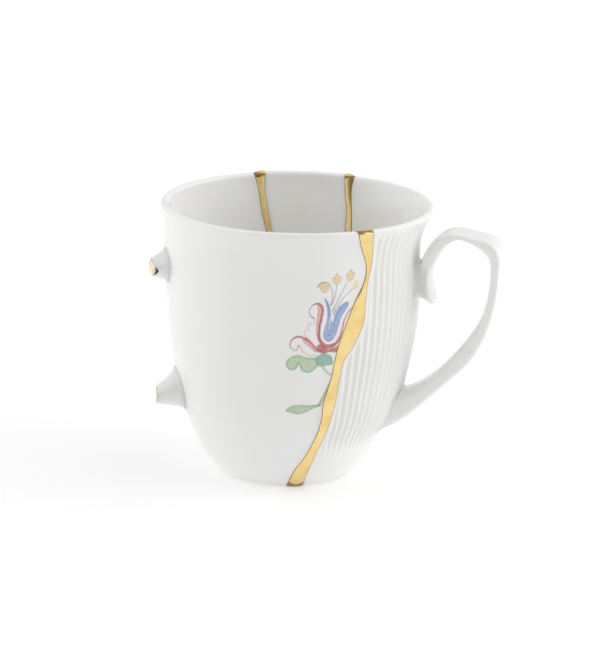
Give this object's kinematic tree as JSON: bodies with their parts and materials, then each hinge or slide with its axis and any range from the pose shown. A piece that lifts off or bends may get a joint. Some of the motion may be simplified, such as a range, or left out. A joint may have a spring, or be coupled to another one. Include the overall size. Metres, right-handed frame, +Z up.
{
  "type": "mug",
  "caption": "Porcelain mug with a looped handle, made of smooth and ribbed shards joined by gold seams, with gold-tipped stumps of a lost handle.",
  "frame": {"origin": "on the surface that the mug stands on, under the middle of its overall bounding box, handle and stumps included", "axes": "+Z up, +X along the handle away from the cup, +Y away from the viewer when the handle is on the right"},
  "size_m": [0.121, 0.0902, 0.0964],
  "materials": {
    "painted_porcelain": "white glazed porcelain with a painted flower",
    "porcelain": "white glazed porcelain",
    "gold": "polished gold leaf over filler"
  },
  "bodies": {
    "root": {"smooth_shard": "painted_porcelain", "back_shard": "porcelain", "ribbed_shard": "porcelain", "gold_seam": "gold", "gold_cap_upper": "gold", "gold_cap_lower": "gold"}
  },
  "joints": []
}
